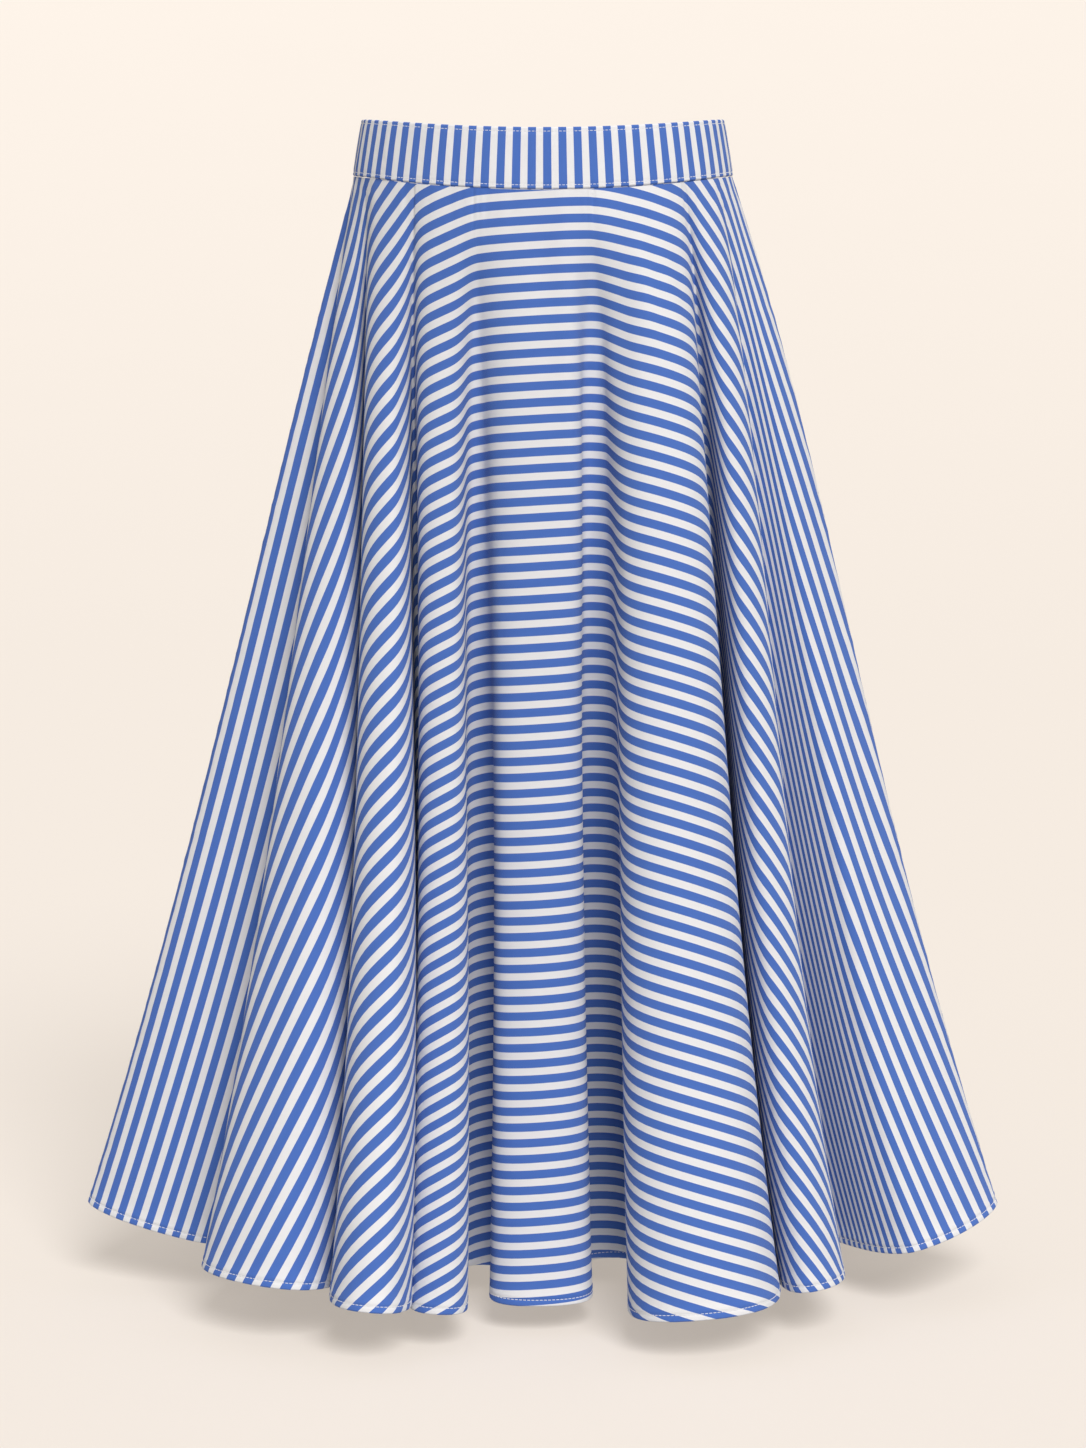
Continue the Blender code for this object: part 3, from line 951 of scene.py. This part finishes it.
@dataclass(frozen=True)
class Panel:
    """One cut piece of the skirt, from its waist seam to its turned and stitched hem.

    hem_step is the share of the length over which the turned hem begins. A seam's gathers are the
    pucker, and the waist's gathers are the gather, each with its height, its ripples' length and
    the reach within which it fades, in metres.
    """

    name: str
    first: str
    last: str
    sheet: float = 0.0006
    hem_depth: float = 0.0080
    stitch_above_hem: float = 0.0048
    hem_step: float = 0.0006
    groove: float = 0.0009
    columns_per_line: int = 25
    rows: int = 84
    rows_in_hem: int = 12
    seam_roll: float = 0.0012
    roll_reach: float = 0.0016
    pucker_reach: float = 0.016
    pucker_height: float = 0.00045
    pucker_length: float = 0.021
    gather_height: float = 0.0011
    gather_reach: float = 0.014
    gather_length: float = 0.016

    def ends(self) -> tuple[float, float]:
        """The places of the panel's two edges."""
        first, last = LINE_NAMES.index(self.first), LINE_NAMES.index(self.last)
        return float(first), float(last if last > first else last + LINES_ROUND)

    def places(self) -> Grid:
        """Places of the columns, even but for three close ones at each seam."""
        first, last = self.ends()
        count = int((last - first) * self.columns_per_line)
        even = np.linspace(first, last, count + 1)[1:-1]
        gap = 0.5 * SEAM_GAP
        roll = np.array([gap, gap + 0.004, gap + 0.011, gap + 0.022])
        return np.concatenate([first + roll, even, (last - roll)[::-1]])[:, None]

    def layers(self) -> Layers:
        """The section of the cloth, with its turned hem and the groove of its stitching.

        The rows lie closer in the turned hem. The inner side steps in by nearly two sheets there,
        the stitching draws the outer side in by 0.7 of a sheet and the inner side by half a sheet,
        and the fold at the lower edge is half a circle.

        Returns:
            The section.
        """
        depth, stitch = self.hem_depth / FORM.length, self.stitch_above_hem / FORM.length
        body = np.linspace(0, 1 - depth - 2 * self.hem_step, self.rows)
        near = 1 - np.linspace(depth, 0.0016, self.rows_in_hem)
        radius = 1.6 * self.sheet
        turn = np.radians([0, 30, 55, 75, 90])
        fold = 1 - (1 - np.sin(turn)) * radius / FORM.length
        down = np.concatenate([body, near, fold])
        half = self.sheet / 2
        turned = np.clip((down - (1 - depth - self.hem_step)) / self.hem_step, 0, 1)
        groove = np.exp(-(((down - 1 + stitch) * FORM.length / self.groove) ** 2))
        outer = half + 0.4 * self.sheet * turned - 0.7 * self.sheet * groove
        inner = -half - 1.8 * self.sheet * turned + 0.5 * self.sheet * groove
        folded = np.concatenate([np.ones(len(body) + len(near)), np.cos(turn)])
        middle = (outer + inner) / 2
        return Layers(down, middle + (outer - middle) * folded, middle + (inner - middle) * folded)

    def pucker(self, place: Grid, down: Grid) -> Grid:
        """Small gathers that the stitching pulls beside the seams and at the waist, in metres.

        Along a seam they are irregular ripples that fade away from it, and the seam itself is
        drawn in by its stitching. At the waist they run down from its seam.

        Args:
            place: Places, (n, 1) or (n, m).
            down: Shares of the length, (m,).

        Returns:
            Heights along the way that the cloth faces, (n, m).
        """
        first, last = self.ends()
        _, stride = FORM.outward(place, down)
        run = down[None, :] * FORM.length
        height = np.zeros(stride.shape)
        for seam, seed in ((first, 1.0 + first), (last, 4.0 + last)):
            away = np.abs(place - seam) * stride
            height += self.pucker_height * np.exp(-(away / self.pucker_reach)) * uneven(
                run, self.pucker_length, seed)
            height -= self.seam_roll * np.exp(-(away / self.roll_reach))
        round_it = place * STRIDE_AT_WAIST
        waist = np.exp(-run / self.gather_reach) * (1 - np.exp(-run / 0.002))
        return height + self.gather_height * waist * uneven(round_it, self.gather_length, 0.4)

    def wall(self) -> Mesh:
        """The panel as a closed wall."""
        place, layers = self.places(), self.layers()
        points, facing = FORM.sheet(place, layers.down)
        points = points + self.pucker(place, layers.down)[:, :, None] * facing
        flat = FORM.flat(*self.ends(), place[:, 0], layers.down)
        return wall_from(points, facing, layers, flat)

    def cut_size(self) -> tuple[tuple[float, float], float]:
        """The flat cut's size, from the same flat coordinates that the stripes follow.

        Returns:
            Width and length of the rectangle that holds it, in metres, and its area in square
            metres, which is the sum of its small parallelograms.
        """
        place = np.linspace(*self.ends(), 1200)
        flat = FORM.flat(*self.ends(), place, np.linspace(0, 1, 40))
        width, length = np.ptp(flat.reshape(-1, 2), axis=0)
        along, down = np.diff(flat, axis=0)[:, :-1], np.diff(flat, axis=1)[:-1]
        area = np.abs(along[..., 0] * down[..., 1] - along[..., 1] * down[..., 0]).sum()
        return (round(float(width), 3), round(float(length), 3)), round(float(area), 3)

    def build(self, cotton: bpy.types.Material) -> None:
        """Makes the panel, which stands for the CAD node of its name."""
        piece = add_mesh(f"{self.name}_cloth", self.wall(), cotton)
        declare(piece, self.name)
        size, area = self.cut_size()
        LOG.info("%s: flat %s, %.3f m2", piece.name, size, area)


@dataclass(frozen=True)
class Stitching:
    """Rows of short machine stitches that lie half sunk in the cloth.

    reach is how far to both sides of a stitch its row is looked at for the way that it runs.
    """

    name: str
    pitch: float
    stitch: float
    radius: float
    sides: int = 6
    reach: float = 0.0005

    def capsule(self) -> tuple[Grid, Grid]:
        """One stitch along the first axis, as four rings whose ends are closed.

        The rings are narrow at the ends and full between, and the stitch bows outward like half
        a sine wave.

        Returns:
            Points (along, across, out) and quads.
        """
        along = np.array([-0.5, -0.40, 0.40, 0.5]) * self.stitch
        size = np.array([0.35, 1.0, 1.0, 0.35]) * self.radius
        sink = np.array([-0.7, 0.15, 0.15, -0.7]) * self.radius
        turn = circle(self.sides)
        rings = side_by_side(along[:, None], size[:, None] * np.cos(turn),
                             sink[:, None] + size[:, None] * np.sin(turn))
        return rings.reshape(-1, 3), capped_quads(len(along), self.sides)

    def build(self, rows: Iterable[tuple[Grid, Grid]], thread: bpy.types.Material,
              slot: str) -> None:
        """Makes one mesh of all stitches of some rows.

        Each stitch's points are its centre plus the capsule's three coordinates along the row,
        across it and along the way that the cloth faces.

        Args:
            rows: For each row, dense points along it and the way that the cloth faces there.
            thread: The finish.
            slot: Not used.
        """
        template, quads = self.capsule()
        placed = []
        for path, facing in rows:
            run = runs(path)
            centres = np.arange(self.pitch / 2, run[-1], self.pitch)
            out = unit(along_runs(centres, run, facing))
            along = unit(along_runs(centres + self.reach, run, path)
                         - along_runs(centres - self.reach, run, path))
            ways = np.stack([along, np.cross(out, along), out], axis=1)
            placed.append(along_runs(centres, run, path)[:, None] + template @ ways)
        stitches = np.concatenate(placed)
        offsets = np.arange(len(stitches)) * len(template)
        points = stitches.reshape(-1, 3)
        quads = turned_out(points, (quads[None] + offsets[:, None, None]).reshape(-1, 4))
        flat = template[quads % len(template)][..., [1, 0]]
        piece = add_mesh(self.name, (points, quads, flat), thread, 80)
        declare(piece)


@dataclass(frozen=True)
class Skirt:
    """The three panels, with the hem's stitching and the seam allowances inside."""

    allowance: float = 0.011
    allowance_lift: float = 0.0009
    allowance_from: tuple[float, float] = (-0.0006, 0.0008)
    half_sheet: float = 0.00022
    wave_height: float = 0.0007
    wave_length: float = 0.11
    flat_under_zip: float = 0.21

    def panels(self) -> tuple[Panel, ...]:
        """The front and the two back panels."""
        return (
            Panel("front_panel", "side_right", "side_left"),
            Panel("back_panel_left", "side_left", "centre_back"),
            Panel("back_panel_right", "centre_back", "side_right"),
        )

    def hem_rows(self) -> list[tuple[Grid, Grid]]:
        """For each panel, the path of its hem stitching and the way that the cloth faces."""
        rows = []
        for panel in self.panels():
            first, last = panel.ends()
            place = np.linspace(first + 0.03, last - 0.03, int((last - first) * 50))[:, None]
            down = 1 - panel.stitch_above_hem / FORM.length + np.array([-0.002, 0.0, 0.002])
            down = np.minimum(down, 1)
            points, facing = FORM.sheet(place, down)
            layer = panel.layers()
            high = np.interp(down[1], layer.down, layer.outer)
            rows.append((points[:, 1] + high * facing[:, 1], facing[:, 1]))
        return rows

    def allowances(self, cotton: bpy.types.Material) -> None:
        """Pressed-open seam allowances: on each side of a seam a strip of the panels' own points.

        A strip follows its panel's ripples, is moved inward by its lift and a little more at its
        free edge, and is as wide as the allowance all the way down. At each seam one of the two
        strips reaches past the seam, so that no light comes through it.

        Args:
            cotton: The finish.
        """
        down = np.linspace(0.004, 0.999, 180)
        strips = [self.strip(panel, down, side) for panel in self.panels() for side in (1, -1)]
        piece = add_mesh("seam_allowances", joined(strips), cotton)
        declare(piece)

    def strip(self, panel: Panel, down: Grid, side: int) -> Mesh:
        """One allowance strip as a closed wall.

        Its free edge waves, but lies flat under the zip's tapes.

        Args:
            panel: The panel that it belongs to.
            down: Shares of the length, (m,).
            side: 1 for the panel's first edge, -1 for its last.

        Returns:
            The strip.
        """
        edge = 0 if side > 0 else 1
        seam, start = panel.ends()[edge], self.allowance_from[edge]
        across = np.array([start, 0.0018, 0.0040, 0.7 * self.allowance, self.allowance])
        _, stride = FORM.outward(np.array([[seam + 0.05 * side]]), down)
        place = (seam + side * across[:, None] / stride)[::side]
        grid, facing = FORM.sheet(place, down)
        curl = np.linspace(0, 1, len(place))[::side, None]
        wave = self.wave_height * uneven(down * FORM.length, self.wave_length, place[0, 0])
        wave = wave + self.allowance_lift
        if "centre_back" in (panel.first, panel.last):
            wave = wave * np.clip((down - self.flat_under_zip) / 0.05, 0, 1)
        lift = 0.8 * self.allowance_lift + curl * np.abs(wave)
        grid = grid + (panel.pucker(place, down) - lift)[:, :, None] * facing
        half = np.full(len(down), self.half_sheet)
        flat = side_by_side(place * 0.03, -down[None, :] * FORM.length)
        return wall_from(grid, facing, Layers(down, half, -half), flat)

    def build(self, cotton: bpy.types.Material, thread: bpy.types.Material) -> None:
        """Makes everything below the waist seam, from the panels' cotton and sewing thread."""
        for panel in self.panels():
            panel.build(cotton)
        self.allowances(cotton)
        stitching = Stitching("hem_stitches", pitch=0.0031, stitch=0.0024, radius=0.00026)
        stitching.build(self.hem_rows(), thread, "stripe_cotton")


# ---------------------------------------------------------------------------- the waistband


@dataclass(frozen=True)
class Waistband:
    """The doubled, topstitched waistband, open at the centre back.

    radius is the waist's half width, which turns angles into metres round it.
    """

    thickness: float = 0.0026
    columns: int = 620
    gap: float = 0.0007
    stitch_from_top: float = 0.0030
    stitch_from_seam: float = 0.0026
    groove: float = 0.0008
    groove_depth: float = 0.00038
    ripple_height: float = 0.00045
    ripple_length: float = 0.047
    fine_height: float = 0.00010
    fine_length: float = 0.0105
    height: float = 0.0420
    radius: float = FORM.waist_seam[0]

    def angles(self) -> Grid:
        """Angles of the columns, once round from the centre back, close at both ends."""
        gap = self.gap / self.radius
        roll = np.array([0.0, 0.0018, 0.0045, 0.0090])
        even = np.linspace(math.pi, 3 * math.pi, self.columns)[1:-1]
        return np.concatenate([math.pi + gap + roll, even, (3 * math.pi - gap - roll)[::-1]])

    def layers(self) -> Layers:
        """The section: flat sides, drawn in at both rows of stitching, and round edges.

        Between the rows the two sides bow out a little, and each edge is half a circle.

        Returns:
            The section.
        """
        reach = 0.035
        body = np.linspace(reach, 1 - reach, 34)
        turn = np.radians([0, 25, 50, 72, 90])
        top = (reach * (1 - np.sin(turn)))[::-1]
        bottom = 1 - reach * (1 - np.sin(turn))
        down = np.concatenate([top, body[1:-1], bottom])
        fullness = np.concatenate([np.cos(turn)[::-1], np.ones(len(body) - 2), np.cos(turn)])
        from_top = down * self.height - self.stitch_from_top
        from_seam = (1 - down) * self.height - self.stitch_from_seam
        drawn = np.exp(-(from_top / self.groove) ** 2) + np.exp(-(from_seam / self.groove) ** 2)
        half = self.thickness / 2 * (1 + 0.12 * np.sin(math.pi * down))
        half = half - self.groove_depth * drawn
        return Layers(down, half * fullness, -half * fullness)

    def sheet(self, angle: Grid, down: Grid) -> tuple[Grid, Grid]:
        """The middle of the band, with a slight unevenness, and the way that it faces.

        The ripples run round the band, slightly on the slant, and fade towards both edges as a
        sine of the way down.

        Args:
            angle: Angles of the columns, (n,).
            down: Shares of the height, (m,).

        Returns:
            Points and unit directions, (n, m, 3).
        """
        points = FORM.band(angle, down)
        wide = np.concatenate([[2 * angle[0] - angle[1]], angle, [2 * angle[-1] - angle[-2]]])
        facing = grid_facing(FORM.band(wide, down))[1:-1]
        run = angle[:, None] * self.radius
        ripple = self.ripple_height * uneven(run + 0.006 * down, self.ripple_length, 2.0)
        fine = self.fine_height * uneven(run - 0.010 * down, self.fine_length, 5.0)
        share = np.sin(math.pi * np.clip(down, 0, 1))[None, :]
        height = ripple * (0.35 + 0.65 * share) + fine * share
        return points + height[:, :, None] * facing, facing

    def flat(self, angle: Grid, down: Grid) -> Grid:
        """Flat coordinates: metres along the band from the centre front, and metres down."""
        dense = np.linspace(math.pi, 3 * math.pi, 2001)
        middle = (FORM.ellipse(FORM.waist_top, dense) + FORM.ellipse(FORM.waist_seam, dense)) / 2
        run = runs(middle)
        across = np.interp(angle, dense, run - run[len(run) // 2])
        return side_by_side(across[:, None], -down[None, :] * self.height)

    def row(self, down: float, side: int) -> tuple[Grid, Grid]:
        """The path of one row of stitching, on the outside (1) or the inside (-1)."""
        angle = np.linspace(math.pi + 0.012, 3 * math.pi - 0.012, 1600)
        points, facing = self.sheet(angle, np.array([down - 0.01, down, down + 0.01]))
        layers = self.layers()
        high = np.interp(down, layers.down, layers.outer)
        return points[:, 1] + side * high * facing[:, 1], side * facing[:, 1]

    def build(self, cotton: bpy.types.Material, thread: bpy.types.Material) -> None:
        """Makes the band and its rows of topstitching, two outside and two inside."""
        angle, layers = self.angles(), self.layers()
        points, facing = self.sheet(angle, layers.down)
        flat = self.flat(angle, layers.down)
        piece = add_mesh("waistband_cloth", wall_from(points, facing, layers, flat), cotton)
        declare(piece, "waistband")
        top = self.stitch_from_top / self.height
        seam = 1 - self.stitch_from_seam / self.height
        stitching = Stitching("band_stitches", pitch=0.0028, stitch=0.0022, radius=0.00024)
        rows = [self.row(down, side) for down in (top, seam) for side in (1, -1)]
        stitching.build(rows, thread, "stripe_cotton")


# ---------------------------------------------------------------------------- the zip


@dataclass(frozen=True)
class ZipFrame:
    """The slider's place: its origin and its outward and downward ways, all at X = 0."""

    below_top: float = 0.0075
    band_thickness: float = 0.0024
    gap: float = 0.0003

    def ways(self) -> tuple[Grid, Grid, Grid]:
        """The origin, the way out of the band and the way down it."""
        high, low = FORM.band(np.array([math.pi]), np.array([0.0, 1.0]))[0]
        fall = (low - high) / np.linalg.norm(low - high)
        outward = np.array([0.0, -fall[2], fall[1]])
        seat = high + self.below_top * fall + (self.band_thickness / 2 + self.gap) * outward
        return seat, outward, fall

    def place(self, points: Grid) -> Grid:
        """Moves points from (right, out, up) at the slider into the scene."""
        seat, outward, fall = self.ways()
        across = np.array([1.0, 0.0, 0.0])
        return (seat + points[..., :1] * across + points[..., 1:2] * outward
                - points[..., 2:] * fall)


def tube(path: Grid, side: Grid, half_wide: Grid, half_high: Grid, around: int) -> Grid:
    """A tube along a path in rings.

    A ring is an ellipse in the plane of the side direction and of its cross product with the
    path, and the first and last rings are as small as their half sizes say.

    Args:
        path: Points, (n, 3).
        side: The direction of the ellipse's first axis at each point, (n, 3).
        half_wide: The ellipse's half size along side, (n,).
        half_high: Its other half size, (n,).
        around: Points in a ring.

    Returns:
        Points, (n, around, 3).
    """
    other = unit(np.cross(np.gradient(path, axis=0), side))
    turn = circle(around)
    return (path[:, None] + (half_wide[:, None] * np.cos(turn))[..., None] * side[:, None]
            + (half_high[:, None] * np.sin(turn))[..., None] * other[:, None])


def closed_tube(rings: Grid) -> Mesh:
    """A tube from its rings, (n, around, 3), with both ends closed."""
    return closed_mesh(rings.reshape(-1, 3), capped_quads(*rings.shape[:2]))


@dataclass(frozen=True)
class ZipMetal:
    """The slider with its bridge, and the pull tab."""

    plate: Sizes = (0.0050, 0.0014, 0.0090)
    bridge_half_width: float = 0.0009
    bridge_half_height: float = 0.00042
    bridge_reach: float = 0.0028
    bridge_half_span: float = 0.0031
    pivot: tuple[float, float] = (0.0025, -0.0014)
    pull: Sizes = (0.0050, 0.0009, 0.0160)
    bar: float = 0.0010
    slot: tuple[float, float] = (0.0026, 0.0060)

    def slider(self) -> Mesh:
        """The plate, a sphere with raised sines and cosines, and the arch of its bridge.

        The path of the arch is half an ellipse.

        Returns:
            Both, in the skirt's place.
        """
        up, turn = np.linspace(-math.pi / 2, math.pi / 2, 17), circle(32)
        wide = bent(np.cos(up), 0.35)[:, None]
        wide[[0, -1]] = 0.02
        x, y = wide * bent(np.cos(turn), 0.35), wide * bent(np.sin(turn), 0.35)
        z = bent(np.sin(up), 0.35)[:, None]
        plate = side_by_side(x, y + 1, z) * np.array(self.plate) / 2
        turn = np.linspace(0, math.pi, 25)
        path = side_by_side(0.0, 0.001 + self.bridge_reach * np.sin(turn),
                            self.bridge_half_span * np.cos(turn))
        full = np.ones(len(turn))
        side = side_by_side(full, 0.0, 0.0)
        arch = tube(path, side, self.bridge_half_width * full, self.bridge_half_height * full, 16)
        return joined(closed_tube(ZipFrame().place(rings)) for rings in (plate, arch))

    def tab(self) -> Mesh:
        """The pull tab: a ring between the outlines of the tab and of its slot.

        Both outlines are ellipses with their sines and cosines raised to a power, and the tab is
        a little narrower at the top. Each section between them is an ellipse raised so too.

        Returns:
            The tab, in the skirt's place.
        """
        turn, section = circle(72), circle(14)

        def outline(width: float, height: float, middle: float, power: float) -> Grid:
            """An outline in the plane of the tab."""
            return side_by_side(bent(np.cos(turn), power) * width / 2,
                                middle + bent(np.sin(turn), power) * height / 2)

        outer = outline(self.pull[0], self.pull[2], (self.bar - self.pull[2]) / 2, 0.42)
        outer[:, 0] *= 1 - 0.22 * np.clip(outer[:, 1] / self.pull[2] + 0.9, 0, 1)
        inner = outline(0.82 * self.slot[0], self.slot[1], -(self.bar + self.slot[1]) / 2, 0.5)
        share = 0.5 + 0.5 * bent(np.cos(section), 0.5)
        height = bent(np.sin(section), 0.5) * self.pull[1] / 2
        flat = inner[:, None] + share[None, :, None] * (outer - inner)[:, None]
        points = side_by_side(flat[..., 0], height, flat[..., 1])
        points = ZipFrame().place(points + np.array([0, self.pivot[0], self.pivot[1]]))
        quads = grid_quads(len(turn), len(section), closed=True, ring=True)
        return closed_mesh(points.reshape(-1, 3), quads)

    def build(self, metal: bpy.types.Material) -> None:
        """Makes the slider, which stays with the skirt, and the pull tab, which swings."""
        declare(add_mesh("zip_slider_metal", self.slider(), metal, 60), "zip_slider")
        declare(add_mesh("zip_pull_metal", self.tab(), metal, 60), "zip_pull",
                "pull_tab")


@dataclass(frozen=True)
class ZipTape:
    """The two tapes inside the centre-back opening, each with its row of coil."""

    width: float = 0.0105
    sheet: float = 0.00045
    inset: float = 0.0024
    allowance_room: float = 0.0006
    band_from: float = 0.10
    skirt_to: float = 0.21
    rows: int = 90
    band_rows: int = 24
    coil_pitch: float = 0.0013
    coil_radius: float = 0.0009
    coil_thread: float = 0.00027

    def grid(self, side: int) -> tuple[Grid, Grid]:
        """The middle of one tape and the way that it faces.

        Its columns are points of the band and then of the panels at even distances from the
        centre-back seam, and its rows are spread evenly down both. Below the band it lies a
        little further in, over the seam allowances.

        Args:
            side: 1 for the wearer's left, -1 for the right.

        Returns:
            Points and unit directions, (columns, rows, 3).
        """
        across = np.linspace(0.0004, self.width, 7)
        across = across if side < 0 else across[::-1]
        seam = float(LINE_NAMES.index("centre_back"))
        band_down = np.linspace(self.band_from, 1.0, self.band_rows)
        skirt_down = np.linspace(0.0, self.skirt_to, self.rows - self.band_rows)[1:]
        angle = math.pi - side * across / FORM.waist_seam[0]
        band = FORM.band(angle, band_down)
        _, stride = FORM.outward(np.array([[seam]]), skirt_down)
        place = seam - side * across[:, None] / stride
        panel = FORM.middle(place, skirt_down)
        points = np.concatenate([band, panel], axis=1)
        facing = grid_facing(points)
        below = np.concatenate([np.zeros(self.band_rows), np.clip(skirt_down / 0.02, 0, 1)])
        inset = self.inset + self.allowance_room * below
        return points - inset[None, :, None] * facing, facing

    def coil(self, points: Grid, facing: Grid, side: int) -> Grid:
        """A coil along the tape's inner edge: a tube whose path is a helix.

        Args:
            points: The tape's edge, (m, 3).
            facing: The way that it faces, (m, 3).
            side: 1 for the wearer's left, -1 for the right.

        Returns:
            Rings, (n, around, 3).
        """
        run = runs(points)
        steps = np.linspace(0, run[-1], int(run[-1] / self.coil_pitch * 10))
        middle = along_runs(steps, run, points)
        out = unit(along_runs(steps, run, facing))
        along = unit(np.gradient(middle, axis=0))
        across = np.cross(along, out)
        turn = side * FULL_TURN * steps / self.coil_pitch
        path = middle + self.coil_radius * (
            np.cos(turn)[:, None] * across + 0.7 * np.sin(turn)[:, None] * out)
        radial = np.cos(turn)[:, None] * across + np.sin(turn)[:, None] * out
        size = np.full(len(steps), self.coil_thread)
        return tube(path, radial, size, size, 6)

    def half(self, side: int) -> tuple[Mesh, Mesh]:
        """One tape and its coil, on the wearer's left (1) or right (-1)."""
        grid, facing = self.grid(side)
        half = np.full(grid.shape[1], self.sheet / 2)
        across = np.linspace(0, self.width, grid.shape[0])[:, None]
        run = np.linspace(0, self.skirt_to, grid.shape[1])
        flat = side_by_side(across, run[None, :])
        inner = -1 if side > 0 else 0
        edge = grid[inner] - self.coil_radius * facing[inner]
        return (wall_from(grid, facing, Layers(run, half, -half), flat),
                closed_tube(self.coil(edge, facing[inner], side)))

    def build(self, cloth: bpy.types.Material) -> None:
        """Makes both tapes with their coils as one piece."""
        piece = add_mesh("zip_tapes_cloth", joined(self.half(1) + self.half(-1)), cloth)
        declare(piece, "zip_tapes")


# ---------------------------------------------------------------------------- the studio


@dataclass(frozen=True)
class Studio:
    """The paper floor, the lights and the camera."""

    floor: float = -0.870
    level_radius: float = 4.0
    rim_radius: float = 42.0
    rise: float = 0.0085
    around: int = 96
    rings: int = 70
    camera_place: Sizes = (0.0, -2.6, -0.066)
    camera_tilt: float = 7.97
    lens: float = 85.97
    key_from_right: float = 17.0
    key_height: float = 43.0
    key_softness: float = 30.0
    key_power: float = 3.25
    key_colour: Colour = (1.0, 0.985, 0.965)
    world_light: float = 0.42
    world_colour: Colour = (1.0, 0.99, 0.985)

    def backdrop(self, paper: bpy.types.Material) -> None:
        """A round paper floor that rises like a shallow dish far away.

        Its height is the floor's plus the square of the distance past the level part.

        Args:
            paper: The finish.
        """
        rising = np.linspace(self.level_radius, self.rim_radius, self.rings)
        radius = np.concatenate([[0.01, 1.0, 2.0], rising])[:, None]
        turn = circle(self.around)
        height = self.floor + self.rise * np.maximum(radius - self.level_radius, 0) ** 2
        points = side_by_side(radius * np.sin(turn), radius * np.cos(turn), height)
        points = points.reshape(-1, 3)
        quads = grid_quads(len(radius), self.around, closed=True)
        piece = add_mesh("paper_floor", (points, quads, points[quads][..., :2]), paper, 80)
        piece.visible_diffuse = False
        piece.visible_shadow = False

    def light(self) -> None:
        """One broad key light from the right and above, and even light from all round."""
        data = bpy.data.lights.new("key", "SUN")
        data.angle = math.radians(self.key_softness)
        data.energy = self.key_power
        data.color = self.key_colour
        put("key", data).rotation_euler = (math.radians(90 - self.key_height), 0,
                                           math.radians(self.key_from_right))
        world = bpy.data.worlds.new("studio")
        world.use_nodes = True
        ground = world.node_tree.nodes["Background"]
        ground.inputs["Color"].default_value = (*self.world_colour, 1.0)
        ground.inputs["Strength"].default_value = self.world_light
        bpy.context.scene.world = world
        bpy.context.scene.view_settings.view_transform = "Standard"

    def camera(self) -> None:
        """The camera, level with the waist and tilted down a little."""
        data = bpy.data.cameras.new("camera")
        data.lens = self.lens
        data.sensor_width = 36.0
        camera = put("camera", data)
        camera.location = self.camera_place
        camera.rotation_euler = (math.radians(90 - self.camera_tilt), 0, 0)
        bpy.context.scene.camera = camera

    def build(self) -> None:
        """Sets everything up round the skirt."""
        self.backdrop(PlainPaper().material())
        self.light()
        self.camera()


# ---------------------------------------------------------------------------- everything


def main() -> None:
    """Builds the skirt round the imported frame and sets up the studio."""
    logging.basicConfig(level=logging.INFO, format="%(name)s %(message)s")
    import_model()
    thread = SewingThread().material()
    cotton = StripedCotton("striped_cotton", StripeWay.LEVEL).material()
    band_cotton = StripedCotton("striped_cotton_band", StripeWay.UPRIGHT, pitch=0.0110).material()
    Skirt().build(cotton, thread)
    Waistband().build(band_cotton, thread)
    ZipMetal().build(PlatedMetal().material())
    ZipTape().build(TapeCloth().material())
    Studio().build()


if __name__ == "__main__":
    main()
